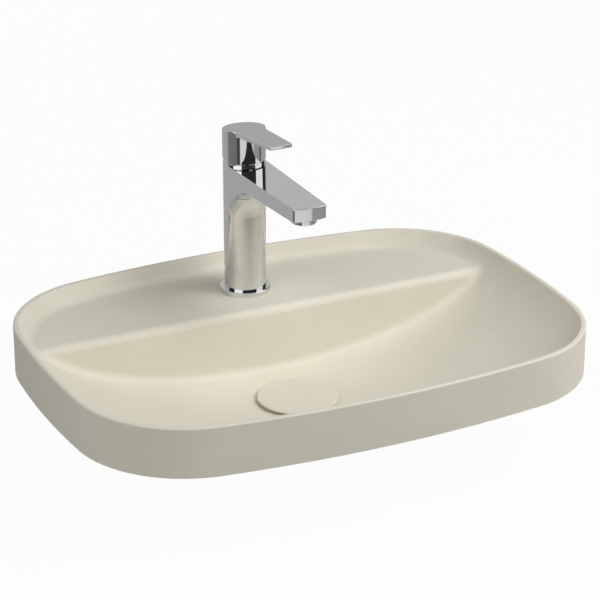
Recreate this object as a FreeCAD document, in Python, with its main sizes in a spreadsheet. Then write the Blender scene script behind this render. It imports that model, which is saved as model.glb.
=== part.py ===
import FreeCAD, Part
import math
import os
import re
import Sketcher
from FreeCAD import Vector

# Inset basin with a raised tap ledge, a one-hole lever mixer and a push-to-open waste.
# Frame: the counter is z = 0 and its centre the origin, +Y is the wall side, +Z is up.

# Driving dimensions in millimetres, angles in degrees
SIZES = {
    # Basin outline and rim
    "basin_width": 550,
    "basin_depth": 405,
    "corner_radius": 117,
    "front_bow": 1200,
    "side_bow": 950,
    "rim_height": 51,
    "rim_width": 5.5,
    "rim_round": 1.8,
    # Bowl, tap ledge and underside
    "bowl_depth": 93.5,
    "ledge_drop": 17,
    "ledge_front": 73,
    "riser_draft": 1,
    "ledge_round": 8,
    "bowl_round": 10,
    "bowl_wall": 11,
    "ledge_wall": 12,
    "foot_width": 14,
    # Holes in the ceramic
    "tap_back": 132.4,
    "tap_hole_radius": 17.5,
    "waste_back": 4,
    "waste_hole_radius": 23,
    "recess_radius": 33,
    "recess_depth": 5,
    "boss_radius": 38,
    "boss_wall": 12,
    # Waste
    "waste_thread_radius": 20.955,
    "waste_bore_radius": 18,
    "waste_mouth_radius": 21.5,
    "waste_flange_radius": 31,
    "waste_flange_chamfer": 0.8,
    "waste_mouth_depth": 4.5,
    "waste_seal_height": 1.5,
    "waste_seal_inset": 0.5,
    "waste_tail": 46,
    "tail_chamfer": 1,
    "trap_thread": 12,
    "relief_width": 1.5,
    "relief_depth": 0.8,
    "cone_seal_height": 6,
    "cone_seal_radius": 34,
    "cone_seal_taper": 4,
    "cone_seal_rim": 2,
    "cone_spigot": 6,
    "slip_washer_height": 2,
    "slip_washer_radius": 31,
    "waste_nut_height": 11,
    "waste_nut_radius": 31,
    "hub_radius": 7,
    "hub_hole_radius": 3,
    "hub_top": 18,
    "hub_height": 6,
    "arm_width": 4,
    "arm_root": 0.8,
    "guide_radius": 6.5,
    "guide_top": 2,
    "stem_radius": 4.1,
    "stem_length": 23.8,
    "stem_room": 1,
    # Waste cap
    "cap_radius": 42,
    "cap_edge": 2.3,
    "cap_dome": 1.1,
    "cap_round": 0.9,
    "cap_gap": 3.9,
    "cap_plate_radius": 24.5,
    "cap_plate_height": 2.5,
    "cap_boss_radius": 7.5,
    "cap_boss_bottom": 2.5,
    "cap_glue": 0.2,
    "plug_seal_radius": 28.5,
    "plug_lip_height": 1,
    "plug_lip_inset": 1,
    # Tap body and spout
    "tap_radius": 22.1,
    "tap_wall": 3.6,
    "base_radius": 26.8,
    "base_height": 5,
    "base_seat": 3.4,
    "base_chamfer": 0.5,
    "base_seal_inner": 19.5,
    "base_seal_outer": 24,
    "base_seal_height": 2,
    "shank_top": 62,
    "chamber_floor": 118,
    "chamber_radius": 17.6,
    "gallery_radius": 19,
    "gallery_height": 20,
    "nut_bore_radius": 19.4,
    "nut_bore_room": 1,
    "neck_height": 25,
    "spout_reach": 159.3,
    "spout_tip_half": 18.2,
    "spout_end_bow": 52,
    "spout_top_root": 142.6,
    "spout_top_tip": 145.2,
    "spout_under_root": 126.2,
    "spout_under_tip": 131.2,
    "spout_corner_round": 3.5,
    "spout_edge_round": 0.8,
    "water_way_height": 137.2,
    "water_way_radius": 2.7,
    "inlet_side": 8.5,
    "inlet_front": 4,
    "inlet_radius": 4.5,
    "inlet_depth": 16,
    "port_radius": 3.2,
    # Tap fixing
    "stud_back": 10,
    "stud_radius": 4,
    "stud_grip": 12,
    "stud_below": 28,
    "stud_chamfer": 0.8,
    "clamp_radius": 24,
    "clamp_slot_half": 13.5,
    "clamp_slot_back": 3,
    "clamp_pad_height": 3,
    "clamp_plate_height": 3,
    "clamp_plate_inset": 1,
    "clamp_nut_height": 9,
    "clamp_nut_radius": 7.5,
    # Aerator
    "aerator_setback": 17,
    "aerator_radius": 12.8,
    "aerator_bottom": 125,
    "aerator_chamfer": 0.6,
    "aerator_shoulder": 132,
    "aerator_thread_radius": 10.5,
    "aerator_thread_height": 3.5,
    "aerator_bore": 9.2,
    "aerator_seal_height": 1.5,
    "aerator_seal_bore": 7.5,
    "aerator_room": 3.4,
    "jet_plate_height": 8,
    "jet_plate_recess": 1,
    "jet_radius": 0.9,
    "jet_ring": 3.2,
    # Cartridge
    "cartridge_clearance": 0.2,
    "port_plate_height": 4.5,
    "port_seal_radius": 5.6,
    "port_seal_height": 1.8,
    "port_seal_gap": 0.2,
    "disc_radius": 13.8,
    "disc_height": 3.5,
    "slider_radius": 12,
    "mixing_depth": 1.8,
    "mixing_half": 10,
    "mixing_front": 0.5,
    "mixing_back": 5,
    "outlet_back": 7,
    "outlet_radius": 3.5,
    "driver_plate_height": 1.5,
    "driver_height": 5,
    "driver_half_width": 8,
    "driver_half_length": 6,
    "housing_wall": 2,
    "housing_shoulder": 23,
    "housing_roof": 4,
    "housing_neck_radius": 12.8,
    "housing_neck_top": 29,
    "rotor_radius": 10.8,
    "rotor_top": 30,
    "rotor_flange_radius": 14.8,
    "rotor_flange_height": 1.8,
    "rotor_slot_half": 7.5,
    "pivot_height": 24,
    "pin_radius": 1.5,
    "pin_half_length": 10,
    "spindle_half": 4,
    "spindle_top": 24,
    "spindle_shoulder": 2,
    "spindle_neck_half": 2.5,
    "spindle_tip_drop": 8.8,
    "spindle_tip_radius": 3.2,
    "spindle_tip_room": 0.5,
    "cartridge_nut_height": 3.5,
    "nut_notch": 4,
    "nut_notch_floor": 1,
    "bonnet_radius": 21.7,
    "bonnet_plate": 1,
    "bonnet_rise": 2.7,
    "bonnet_chamfer": 0.5,
    # Lever handle, measured from the pivot
    "handle_radius": 22.6,
    "handle_wall": 1.8,
    "handle_front_low": 4.6,
    "handle_back_low": 9,
    "handle_relief_front": 2,
    "handle_relief_back": 10,
    "handle_relief_low": 7.8,
    "handle_top": 37.7,
    "lever_rise": 5.7,
    "lever_root_half": 17.3,
    "lever_reach": 91,
    "lever_tip_half": 12.3,
    "lever_end_bow": 120,
    "lever_corner_round": 1.5,
    "lever_tip_height": 4.4,
    "lever_root_height": 5.3,
    "handle_edge_round": 1,
    "handle_roof": 27,
    "socket_half": 8,
    "socket_low": 10.5,
    "set_screw_radius": 2.5,
    "set_screw_height": 17,
    "set_screw_length": 8,
    "hex_key_radius": 1.25,
    "hex_key_depth": 4,
    "screw_plug_radius": 4,
    "screw_plug_length": 2,
    "screw_plug_inset": 0.4,
    # Clearances
    "running_fit": 0.1,
    "seat_fit": 0.1,
    "neck_gap": 0.3,
    "thread_fit": 0.05,
    # How far a cut runs past the face that it opens
    "cut_margin": 1,
}

doc = FreeCAD.newDocument("InsetBasin")
sheet = doc.addObject("Spreadsheet::Sheet", "Sizes")
for row, (alias, number) in enumerate(SIZES.items(), 1):
    sheet.set(f"A{row}", alias)
    sheet.set(f"B{row}", str(number))
    sheet.setAlias(f"B{row}", alias)
doc.recompute()

pieces = []


def bound(text):
    """An expression in size names, with each name pointed at its cell."""
    def point(word):
        return f"Sizes.{word[0]}" if word[0] in SIZES else word[0]

    return re.sub(r"[a-z_]{4,}", point, text)


def value(text):
    """The number that an expression in size names comes to."""
    return float(sheet.evalExpression(bound(text)))


# Where the pieces stand, as expressions in size names
LEDGE_TOP = "rim_height - ledge_drop"
WASTE_SEAT = "rim_height - bowl_depth - recess_depth"
CHAMBER = f"{LEDGE_TOP} + chamber_floor"
PIVOT = f"{CHAMBER} + pivot_height"


def new_body(label, back, height):
    """An empty body on the basin's middle line."""
    body = doc.addObject("PartDesign::Body", label)
    body.Label = label
    body.setExpression("Placement.Base.y", bound(back))
    body.setExpression("Placement.Base.z", bound(height))
    pieces.append(body)
    return body


def new_sketch(body, role, height="0"):
    """A sketch on one of the body's own origin planes, lifted along its normal."""
    plane = next(feature for feature in body.Origin.OriginFeatures if feature.Role == role)
    sketch = body.newObject("Sketcher::SketchObject", f"{body.Label}_sketch")
    sketch.AttachmentSupport = (plane, [""])
    sketch.MapMode = "FlatFace"
    sketch.setExpression("AttachmentOffset.Base.z", bound(height))
    return sketch


def measure(sketch, kind, first, text):
    """Adds a dimension to a sketch and binds it to an expression."""
    index = sketch.addConstraint(Sketcher.Constraint(kind, *first, abs(value(text))))
    sketch.setExpression(f"Constraints[{index}]", bound(f"abs({text})"))


# Distance under which two places count as one
TOUCH = 1e-4


def hold(sketch, geometry, point, across, up):
    """Ties one sketch point to the origin by two bound dimensions."""
    for kind, axis, text in (("DistanceX", -2, across), ("DistanceY", -1, up)):
        distance = value(text)
        if abs(distance) < TOUCH:
            sketch.addConstraint(Sketcher.Constraint("PointOnObject", geometry, point, axis))
        elif distance > 0:
            measure(sketch, kind, (-1, 1, geometry, point), text)
        else:
            measure(sketch, kind, (geometry, point, -1, 1), text)


def add_polygon(sketch, corners):
    """Closes a polygon whose corners are pairs of expressions."""
    points = [Vector(value(across), value(up), 0) for across, up in corners]
    for start, end in zip(points, points[1:] + points[:1]):
        sketch.addGeometry(Part.LineSegment(start, end))
    for index in range(len(points)):
        sketch.addConstraint(Sketcher.Constraint("Coincident", index, 2, (index + 1) % len(points), 1))
    for index, (across, up) in enumerate(corners):
        hold(sketch, index, 1, across, up)


def add_circle(sketch, radius, across="0", up="0"):
    centre = Vector(value(across), value(up), 0)
    index = sketch.addGeometry(Part.Circle(centre, Vector(0, 0, 1), value(radius)))
    hold(sketch, index, 3, across, up)
    measure(sketch, "Radius", (index,), radius)


def turn(body, corners, kind="PartDesign::Revolution"):
    """Revolves a polygon of (radius, height) corners about the body's own axis."""
    sketch = new_sketch(body, "XZ_Plane")
    add_polygon(sketch, corners)
    feature = body.newObject(kind, f"{body.Label}_turned")
    feature.Profile = sketch
    feature.ReferenceAxis = (sketch, ["V_Axis"])
    feature.Angle = 360
    return feature


def turned_piece(label, back, height, corners):
    body = new_body(label, back, height)
    turn(body, corners)
    return body


def primitive(body, kind, sizes, place, rotation=FreeCAD.Rotation()):
    """A primitive feature with bound sizes at a bound place."""
    feature = body.newObject(f"PartDesign::{kind}", f"{body.Label}_{kind}")
    for name, text in sizes.items():
        feature.setExpression(name, bound(text))
    feature.Placement = FreeCAD.Placement(Vector(), rotation)
    for axis, text in zip("xyz", place):
        feature.setExpression(f"Placement.Base.{axis}", bound(text))
    return feature


def drill(body, radius, depth, place, rotation=FreeCAD.Rotation()):
    """A round hole that starts at a place and runs along the turned Z axis."""
    return primitive(body, "SubtractiveCylinder", {"Radius": radius, "Height": depth}, place, rotation)


def box(body, kind, x_range, y_range, z_range):
    """An added or cut block given by its two ends along each axis."""
    ranges = (x_range, y_range, z_range)
    names = ("Length", "Width", "Height")
    sizes = {name: f"({high}) - ({low})" for name, (low, high) in zip(names, ranges)}
    return primitive(body, kind, sizes, [low for low, high in ranges])


def side_cut(body, corners):
    """Cuts a polygon of (back, height) corners out of the body, right through along X."""
    sketch = new_sketch(body, "YZ_Plane")
    add_polygon(sketch, corners)
    cut = body.newObject("PartDesign::Pocket", f"{body.Label}_side_cut")
    cut.Profile = sketch
    cut.Type = "ThroughAll"
    cut.Midplane = True
    return cut


def pad(body, sketch, height):
    feature = body.newObject("PartDesign::Pad", f"{body.Label}_pad")
    feature.Profile = sketch
    feature.setExpression("Length", bound(height))
    return feature


def upright(edge):
    """Whether an edge runs straight up."""
    return edge.BoundBox.XLength + edge.BoundBox.YLength < TOUCH


def soften(body, radius, wanted):
    """Rounds the edges of the body's last feature that a test picks out."""
    doc.recompute()
    base = body.Tip
    names = [f"Edge{index}" for index, edge in enumerate(base.Shape.Edges, 1) if wanted(edge)]
    feature = body.newObject("PartDesign::Fillet", f"{body.Label}_rounding")
    feature.Base = (base, names)
    feature.setExpression("Radius", bound(radius))
    return feature


def polar(body, feature, count):
    """Repeats a feature around the body's own Z axis."""
    pattern = body.newObject("PartDesign::PolarPattern", f"{body.Label}_pattern")
    pattern.Originals = [feature]
    pattern.Axis = (next(part for part in body.Origin.OriginFeatures if part.Role == "Z_Axis"), [""])
    pattern.Angle = 360
    pattern.Occurrences = count
    body.Tip = pattern
    return pattern


def add_paddle(sketch, radius, reach, tip_half, end_bow):
    """A round back whose sides run tangent to a narrower, bowed front end."""
    big, far, half, bow = value(radius), value(reach), value(tip_half), value(end_bow)
    bulge = bow - math.sqrt(bow**2 - half**2)
    corner = Vector(half, bulge - far, 0)
    lean = math.asin(big / corner.Length) - math.atan2(corner.x, -corner.y)
    touch = Vector(big * math.cos(lean), big * math.sin(lean), 0)
    back_circle = Part.Circle(Vector(), Vector(0, 0, 1), big)
    back = sketch.addGeometry(Part.ArcOfCircle(back_circle, lean, math.pi - lean))
    left = sketch.addGeometry(Part.LineSegment(Vector(-touch.x, touch.y, 0), Vector(-half, corner.y, 0)))
    end_circle = Part.Circle(Vector(0, bow - far, 0), Vector(0, 0, 1), bow)
    swing = math.asin(half / bow)
    end = sketch.addGeometry(Part.ArcOfCircle(end_circle, -math.pi / 2 - swing, -math.pi / 2 + swing))
    right = sketch.addGeometry(Part.LineSegment(corner, touch))
    for first, first_end, second, second_end in ((back, 2, left, 1), (right, 2, back, 1)):
        sketch.addConstraint(Sketcher.Constraint("Tangent", first, first_end, second, second_end))
    for first, first_end, second, second_end in ((left, 2, end, 1), (end, 2, right, 1)):
        sketch.addConstraint(Sketcher.Constraint("Coincident", first, first_end, second, second_end))
    sketch.addConstraint(Sketcher.Constraint("Coincident", back, 3, -1, 1))
    sketch.addConstraint(Sketcher.Constraint("PointOnObject", end, 3, -2))
    measure(sketch, "Radius", (back,), radius)
    measure(sketch, "Radius", (end,), end_bow)
    end_centre = f"({reach}) - ({end_bow})"
    order = (end, 3, -1, 1) if far > bow else (-1, 1, end, 3)
    measure(sketch, "DistanceY", order, end_centre)
    measure(sketch, "DistanceX", (-1, 1, end, 2), tip_half)
    measure(sketch, "DistanceX", (end, 1, -1, 1), tip_half)


# Basin: one ceramic piece, a scooped bowl with a flat tap ledge inside a straight outer wall


def outline_arcs(inset):
    """Half sizes, radii, corner centre and tangent points of the plan, moved in by an inset."""
    half_width = value("basin_width / 2") - inset
    half_depth = value("basin_depth / 2") - inset
    front, side, corner = (value(name) - inset for name in ("front_bow", "side_bow", "corner_radius"))
    front_centre = Vector(0, half_depth - front, 0)
    side_centre = Vector(half_width - side, 0, 0)
    between = side_centre - front_centre
    along = ((front - corner) ** 2 - (side - corner) ** 2 + between.Length**2) / (2 * between.Length)
    across = math.sqrt((front - corner) ** 2 - along**2)
    between.normalize()
    centre = front_centre + between * along + Vector(between.y, -between.x, 0) * across
    front_touch = front_centre + (centre - front_centre).normalize() * front
    side_touch = side_centre + (centre - side_centre).normalize() * side
    middle = centre + (front_touch + side_touch - centre * 2).normalize() * corner
    return half_width, half_depth, front, side, corner, centre, front_touch, side_touch, middle


def outline_prism(inset, low, high):
    """The basin's plan between two heights: four bowed sides joined by four round corners."""
    half_width, half_depth, *_, front_touch, side_touch, middle = outline_arcs(inset)
    edges = []
    for turn_x, turn_y in ((1, 1), (1, -1), (-1, -1), (-1, 1)):
        start, end = (front_touch, side_touch) if turn_x * turn_y > 0 else (side_touch, front_touch)
        corner = [Vector(p.x * turn_x, p.y * turn_y, low) for p in (start, middle, end)]
        edges.append(Part.Arc(*corner).toShape())
        last = corner[2]
        if turn_x * turn_y > 0:
            side = [last, Vector(half_width * turn_x, 0, low), Vector(last.x, -last.y, low)]
        else:
            side = [last, Vector(0, half_depth * turn_y, low), Vector(-last.x, last.y, low)]
        edges.append(Part.Arc(*side).toShape())
    return Part.Face(Part.Wire(edges)).extrude(Vector(0, 0, high - low))


def outline_reach(direction, arcs):
    """Distance from the centre to the plan along a unit direction."""
    half_width, half_depth, front, side, corner, centre, front_touch, side_touch, _ = arcs
    ray = Vector(abs(direction.x), abs(direction.y), 0)
    angle = math.atan2(ray.y, ray.x)
    if angle > math.atan2(front_touch.y, front_touch.x):
        middle, radius = Vector(0, half_depth - front, 0), front
    elif angle < math.atan2(side_touch.y, side_touch.x):
        middle, radius = Vector(half_width - side, 0, 0), side
    else:
        middle, radius = centre, corner
    dot = ray.dot(middle)
    return dot + math.sqrt(dot**2 - middle.Length**2 + radius**2)


# Share of the scoop's full ellipse that the rim cuts, the levels of its sections and points on each
RIM_SHARE = 0.99
SCOOP_SHARES = (0.12, 0.4, 0.65, 0.83, 0.93, RIM_SHARE, 0.997)
SCOOP_POINTS = 40


def scoop(wall):
    """The bowl's sweep: elliptical in section, with plans that turn from an ellipse into the rim."""
    arcs = outline_arcs(value("rim_width") - wall)
    height = value("bowl_depth") / (1 - math.sqrt(1 - RIM_SHARE**2))
    bottom = value("rim_height - bowl_depth") - wall
    sections = []
    for share in SCOOP_SHARES:
        level = bottom + height * (1 - math.sqrt(1 - share**2))
        scale = share / RIM_SHARE
        blend = min(1, scale**2)
        points = []
        for index in range(SCOOP_POINTS):
            angle = 2 * math.pi * (index + 0.5) / SCOOP_POINTS - math.pi / 2
            ellipse = Vector(arcs[0] * math.cos(angle), arcs[1] * math.sin(angle), 0)
            direction = Vector(ellipse).normalize()
            reach = (1 - blend) * ellipse.Length + blend * outline_reach(direction, arcs)
            points.append(direction * (reach * scale) + Vector(0, 0, level))
        curve = Part.BSplineCurve()
        steps = [index / SCOOP_POINTS for index in range(SCOOP_POINTS + 1)]
        curve.interpolate(Points=points, PeriodicFlag=True, Parameters=steps)
        sections.append(Part.Wire(curve.toShape()))
    return Part.makeLoft(sections, True, False)


def ledge_block(wall, drop, rounding):
    """The block under the tap ledge: a drafted riser and a flat top joined by a round edge."""
    margin = value("basin_width")
    lean = math.radians(value("riser_draft"))
    top = value(LEDGE_TOP) - drop
    low = top - margin / 2
    corner = Vector(-margin, value("ledge_front") + wall, top)
    down = Vector(0, -math.sin(lean), -math.cos(lean))
    back = Vector(0, 1, 0)
    half_angle = math.acos(down.dot(back)) / 2
    inward = (down + back).normalize()
    run = rounding / math.tan(half_angle)
    arc_middle = corner + inward * (rounding / math.sin(half_angle) - rounding)
    foot = corner + down * (margin / 2 / math.cos(lean))
    back_top = corner + back * margin
    edges = [
        Part.makeLine(foot, corner + down * run),
        Part.Arc(corner + down * run, arc_middle, corner + back * run).toShape(),
        Part.makeLine(corner + back * run, back_top),
        Part.makeLine(back_top, Vector(-margin, back_top.y, low)),
        Part.makeLine(Vector(-margin, back_top.y, low), foot),
    ]
    return Part.Face(Part.Wire(edges)).extrude(Vector(2 * margin, 0, 0))


def bowl_space():
    """All the air inside the rim: the scoop less the ledge, with the inner corner rounded."""
    space = scoop(0).cut(ledge_block(0, 0, value("ledge_round"))).Solids[0]
    rim = value("rim_height")
    floor = value("rim_height - bowl_depth")
    corner_edges = []
    for edge in space.Edges:
        kinds = [face.Surface.TypeId for face in space.ancestorsOfType(edge, Part.Face)]
        inside = floor + value("ledge_round") / 2 < edge.BoundBox.ZMax < rim
        if len(kinds) == 2 and "Part::GeomBSplineSurface" in kinds and inside:
            corner_edges.append(edge)
    return space.makeFillet(value("bowl_round"), corner_edges)


def under_space():
    """All the air below: under the counter line and inside the foot, less the bowl's belly."""
    width, depth, wall = value("basin_width"), value("basin_depth"), value("bowl_wall")
    deep = value("bowl_depth + boss_wall")
    belly = scoop(wall).cut(ledge_block(wall, value("ledge_wall"), value("ledge_round") + wall))
    boss_low = value(f"{WASTE_SEAT} - boss_wall")
    boss = Part.makeCylinder(value("boss_radius"), deep, Vector(0, value("waste_back"), boss_low))
    inside = outline_prism(value("foot_width"), -value("cut_margin"), value(LEDGE_TOP))
    air = Part.makeBox(2 * width, 2 * depth, deep, Vector(-width, -depth, -deep))
    return air.fuse(inside).cut(belly).cut(boss)


def basin_shape():
    rim, deep = value("rim_height"), value("bowl_depth")
    solid = outline_prism(0, -deep, rim).cut(under_space()).cut(bowl_space())
    waste_axis = Vector(0, value("waste_back"), value(WASTE_SEAT))
    holes = [
        Part.makeCylinder(value("tap_hole_radius"), rim, Vector(0, value("tap_back"), 0)),
        Part.makeCylinder(value("waste_hole_radius"), rim, waste_axis - Vector(0, 0, rim / 2)),
        Part.makeCylinder(value("recess_radius"), rim, waste_axis),
    ]
    solid = solid.cut(holes).Solids[0]
    at_rim = [edge for edge in solid.Edges if edge.BoundBox.ZMin > rim - TOUCH]
    return solid.makeFillet(value("rim_round"), at_rim)


basin = doc.addObject("Part::Feature", "basin")
basin.Label = "basin"
basin.Shape = basin_shape()
basin.Placement = FreeCAD.Placement()
pieces.append(basin)

# Waste: a threaded tail with its flange in the bowl, held from below by a seal, washer and nut
AT_WASTE = ("waste_back", WASTE_SEAT)
TAIL_CLEAR = "waste_thread_radius + seat_fit"
THREAD_LOW = "tail_chamfer - waste_tail"
RELIEF_LOW = f"{THREAD_LOW} + trap_thread"
RELIEF_HIGH = f"{RELIEF_LOW} + relief_width"
HUB_LOW = "-hub_top - hub_height"

turned_piece("waste_flange_seal", *AT_WASTE, [
    (TAIL_CLEAR, "0"),
    ("waste_flange_radius - waste_seal_inset", "0"),
    ("waste_flange_radius - waste_seal_inset", "waste_seal_height"),
    (TAIL_CLEAR, "waste_seal_height"),
])

waste_body = turned_piece("waste_body", *AT_WASTE, [
    ("waste_bore_radius", "-waste_tail"),
    ("waste_thread_radius - tail_chamfer", "-waste_tail"),
    ("waste_thread_radius", THREAD_LOW),
    ("waste_thread_radius", RELIEF_LOW),
    ("waste_thread_radius - relief_depth", RELIEF_LOW),
    ("waste_thread_radius - relief_depth", RELIEF_HIGH),
    ("waste_thread_radius", RELIEF_HIGH),
    ("waste_thread_radius", "waste_seal_height"),
    ("waste_flange_radius", "waste_seal_height"),
    ("waste_flange_radius", "recess_depth - waste_flange_chamfer"),
    ("waste_flange_radius - waste_flange_chamfer", "recess_depth"),
    ("waste_mouth_radius", "recess_depth"),
    ("waste_bore_radius", "recess_depth - waste_mouth_depth"),
])
primitive(
    waste_body, "AdditiveCylinder",
    {"Radius": "hub_radius", "Height": "hub_height"}, ("0", "0", HUB_LOW),
)
arm = box(
    waste_body, "AdditiveBox",
    ("-arm_width / 2", "arm_width / 2"),
    ("hub_radius - arm_root", "waste_bore_radius + arm_root"),
    (HUB_LOW, "-hub_top"),
)
ARM_COUNT = 3
polar(waste_body, arm, ARM_COUNT)
drill(waste_body, "hub_hole_radius", "hub_height + 2 * cut_margin", ("0", "0", f"{HUB_LOW} - cut_margin"))

SEAL_LOW = "-boss_wall - cone_seal_height"
turned_piece("waste_cone_seal", *AT_WASTE, [
    (TAIL_CLEAR, SEAL_LOW),
    ("cone_seal_radius - cone_seal_taper", SEAL_LOW),
    ("cone_seal_radius", "-boss_wall - cone_seal_rim"),
    ("cone_seal_radius", "-boss_wall"),
    ("waste_hole_radius - neck_gap", "-boss_wall"),
    ("waste_hole_radius - 2 * neck_gap", "cone_spigot - boss_wall"),
    (TAIL_CLEAR, "cone_spigot - boss_wall"),
])

WASHER_LOW = f"{SEAL_LOW} - slip_washer_height"
turned_piece("waste_slip_washer", *AT_WASTE, [
    (TAIL_CLEAR, WASHER_LOW),
    ("slip_washer_radius", WASHER_LOW),
    ("slip_washer_radius", SEAL_LOW),
    (TAIL_CLEAR, SEAL_LOW),
])


def hex_nut(label, back, height, radius, tall, bore):
    """A six-sided nut that stands on a height, with a plain bore for its thread."""
    body = new_body(label, back, height)
    primitive(body, "AdditivePrism", {"Circumradius": radius, "Height": tall}, ("0", "0", "0"))
    drill(body, bore, f"{tall} + 2 * cut_margin", ("0", "0", "-cut_margin"))
    return body


NUT_LOW = f"{WASTE_SEAT} + {WASHER_LOW} - waste_nut_height"
hex_nut("waste_nut", "waste_back", NUT_LOW, "waste_nut_radius", "waste_nut_height", TAIL_CLEAR)

# Push-to-open guide: screwed into the hub, with a bore that the plug's stem slides in
STEM_LOW = "recess_depth + cap_gap - stem_length"
turned_piece("waste_guide", *AT_WASTE, [
    ("0", HUB_LOW),
    ("hub_hole_radius - seat_fit", HUB_LOW),
    ("hub_hole_radius - seat_fit", "-hub_top"),
    ("guide_radius", "-hub_top"),
    ("guide_radius", "guide_top"),
    ("stem_radius + running_fit", "guide_top"),
    ("stem_radius + running_fit", f"{STEM_LOW} - stem_room"),
    ("0", f"{STEM_LOW} - stem_room"),
])

# Plug: the stem, its threaded plate, the sealing ring and the ceramic cap that hides them
CAP_LOW = "recess_depth + cap_gap"
turned_piece("plug_stem", *AT_WASTE, [
    ("0", STEM_LOW),
    ("stem_radius", STEM_LOW),
    ("stem_radius", f"{CAP_LOW} - cap_glue"),
    ("0", f"{CAP_LOW} - cap_glue"),
])

turned_piece("plug_plate", *AT_WASTE, [
    ("stem_radius + thread_fit", "cap_boss_bottom"),
    ("cap_boss_radius", "cap_boss_bottom"),
    ("cap_boss_radius", f"{CAP_LOW} - cap_plate_height"),
    ("cap_plate_radius", f"{CAP_LOW} - cap_plate_height"),
    ("cap_plate_radius", CAP_LOW),
    ("stem_radius + thread_fit", CAP_LOW),
])

turned_piece("plug_seal", *AT_WASTE, [
    ("cap_plate_radius", "recess_depth + plug_lip_height"),
    ("cap_plate_radius + plug_lip_inset", "recess_depth"),
    ("plug_seal_radius - plug_lip_inset", "recess_depth"),
    ("plug_seal_radius", "recess_depth + plug_lip_height"),
    ("plug_seal_radius", CAP_LOW),
    ("cap_plate_radius", CAP_LOW),
])

# Waste cap: a slightly domed ceramic disc with a softened edge
waste_cap = new_body("waste_cap", *AT_WASTE)
cap_sketch = new_sketch(waste_cap, "XZ_Plane")
cap_half, cap_rise = value("cap_radius"), value("cap_dome")
dome_radius = "(cap_radius ^ 2 + cap_dome ^ 2) / (2 * cap_dome)"
cap_top = value(f"{CAP_LOW} + cap_edge + cap_dome")
axis_low, edge_low = Vector(0, value(CAP_LOW), 0), Vector(cap_half, value(CAP_LOW), 0)
edge_high, axis_high = Vector(cap_half, cap_top - cap_rise, 0), Vector(0, cap_top, 0)
cap_sketch.addGeometry(Part.LineSegment(axis_low, edge_low))
cap_sketch.addGeometry(Part.LineSegment(edge_low, edge_high))
dome_centre = Vector(0, cap_top - value(dome_radius), 0)
dome_circle = Part.Circle(dome_centre, Vector(0, 0, 1), value(dome_radius))
dome_start = math.acos(cap_half / value(dome_radius))
cap_sketch.addGeometry(Part.ArcOfCircle(dome_circle, dome_start, math.pi / 2))
cap_sketch.addGeometry(Part.LineSegment(axis_high, axis_low))
for first, first_end, second, second_end in ((0, 2, 1, 1), (1, 2, 2, 1), (2, 2, 3, 1), (3, 2, 0, 1)):
    cap_sketch.addConstraint(Sketcher.Constraint("Coincident", first, first_end, second, second_end))
hold(cap_sketch, 0, 1, "0", CAP_LOW)
hold(cap_sketch, 1, 1, "cap_radius", CAP_LOW)
hold(cap_sketch, 2, 1, "cap_radius", f"{CAP_LOW} + cap_edge")
hold(cap_sketch, 3, 1, "0", f"{CAP_LOW} + cap_edge + cap_dome")
cap_sketch.addConstraint(Sketcher.Constraint("PointOnObject", 2, 3, -2))
cap_disc = waste_cap.newObject("PartDesign::Revolution", "waste_cap_turned")
cap_disc.Profile = cap_sketch
cap_disc.ReferenceAxis = (cap_sketch, ["V_Axis"])
cap_disc.Angle = 360
soften(waste_cap, "cap_round", lambda edge: edge.Length > cap_half and edge.BoundBox.XMax > cap_half - TOUCH)

# Tap base: a ring that the body stands in, with its seal against the ledge
AT_TAP = ("tap_back", LEDGE_TOP)
SHANK_BORE = "tap_radius - tap_wall"

turned_piece("tap_base_ring", *AT_TAP, [
    (SHANK_BORE, "0"),
    ("base_seal_inner", "0"),
    ("base_seal_inner", "base_seal_height"),
    ("base_seal_outer", "base_seal_height"),
    ("base_seal_outer", "0"),
    ("base_radius", "0"),
    ("base_radius", "base_height - base_chamfer"),
    ("base_radius - base_chamfer", "base_height"),
    ("tap_radius + seat_fit", "base_height"),
    ("tap_radius + seat_fit", "base_seat"),
    (SHANK_BORE, "base_seat"),
])

turned_piece("tap_base_seal", *AT_TAP, [
    ("base_seal_inner", "0"),
    ("base_seal_outer", "0"),
    ("base_seal_outer", "base_seal_height"),
    ("base_seal_inner", "base_seal_height"),
])

# Tap body: one casting, a round column with a flat tapering spout
BODY_TOP = "chamber_floor + neck_height"
tap_body = new_body("tap_body", *AT_TAP)
SPOUT_LOW = "spout_under_root - cut_margin"
SPOUT_HIGH = "spout_top_tip + cut_margin"
SPOUT_BACK = "tap_radius + cut_margin"
SPOUT_END = "-spout_reach - cut_margin"
spout_plan = new_sketch(tap_body, "XY_Plane", SPOUT_LOW)
add_paddle(spout_plan, "tap_radius", "spout_reach", "spout_tip_half", "spout_end_bow")
pad(tap_body, spout_plan, f"{SPOUT_HIGH} - ({SPOUT_LOW})")
side_cut(tap_body, [
    (SPOUT_BACK, f"{SPOUT_LOW} - cut_margin"),
    (SPOUT_BACK, "spout_under_root"),
    ("-tap_radius", "spout_under_root"),
    ("-spout_reach", "spout_under_tip"),
    (SPOUT_END, "spout_under_tip"),
    (SPOUT_END, f"{SPOUT_LOW} - cut_margin"),
])
side_cut(tap_body, [
    (SPOUT_BACK, f"{SPOUT_HIGH} + cut_margin"),
    (SPOUT_BACK, "spout_top_root"),
    ("0", "spout_top_root"),
    ("-spout_reach", "spout_top_tip"),
    (SPOUT_END, "spout_top_tip"),
    (SPOUT_END, f"{SPOUT_HIGH} + cut_margin"),
])
spout_front = -value("spout_reach") / 2
soften(tap_body, "spout_corner_round", lambda edge: upright(edge) and edge.BoundBox.YMax < spout_front)
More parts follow.
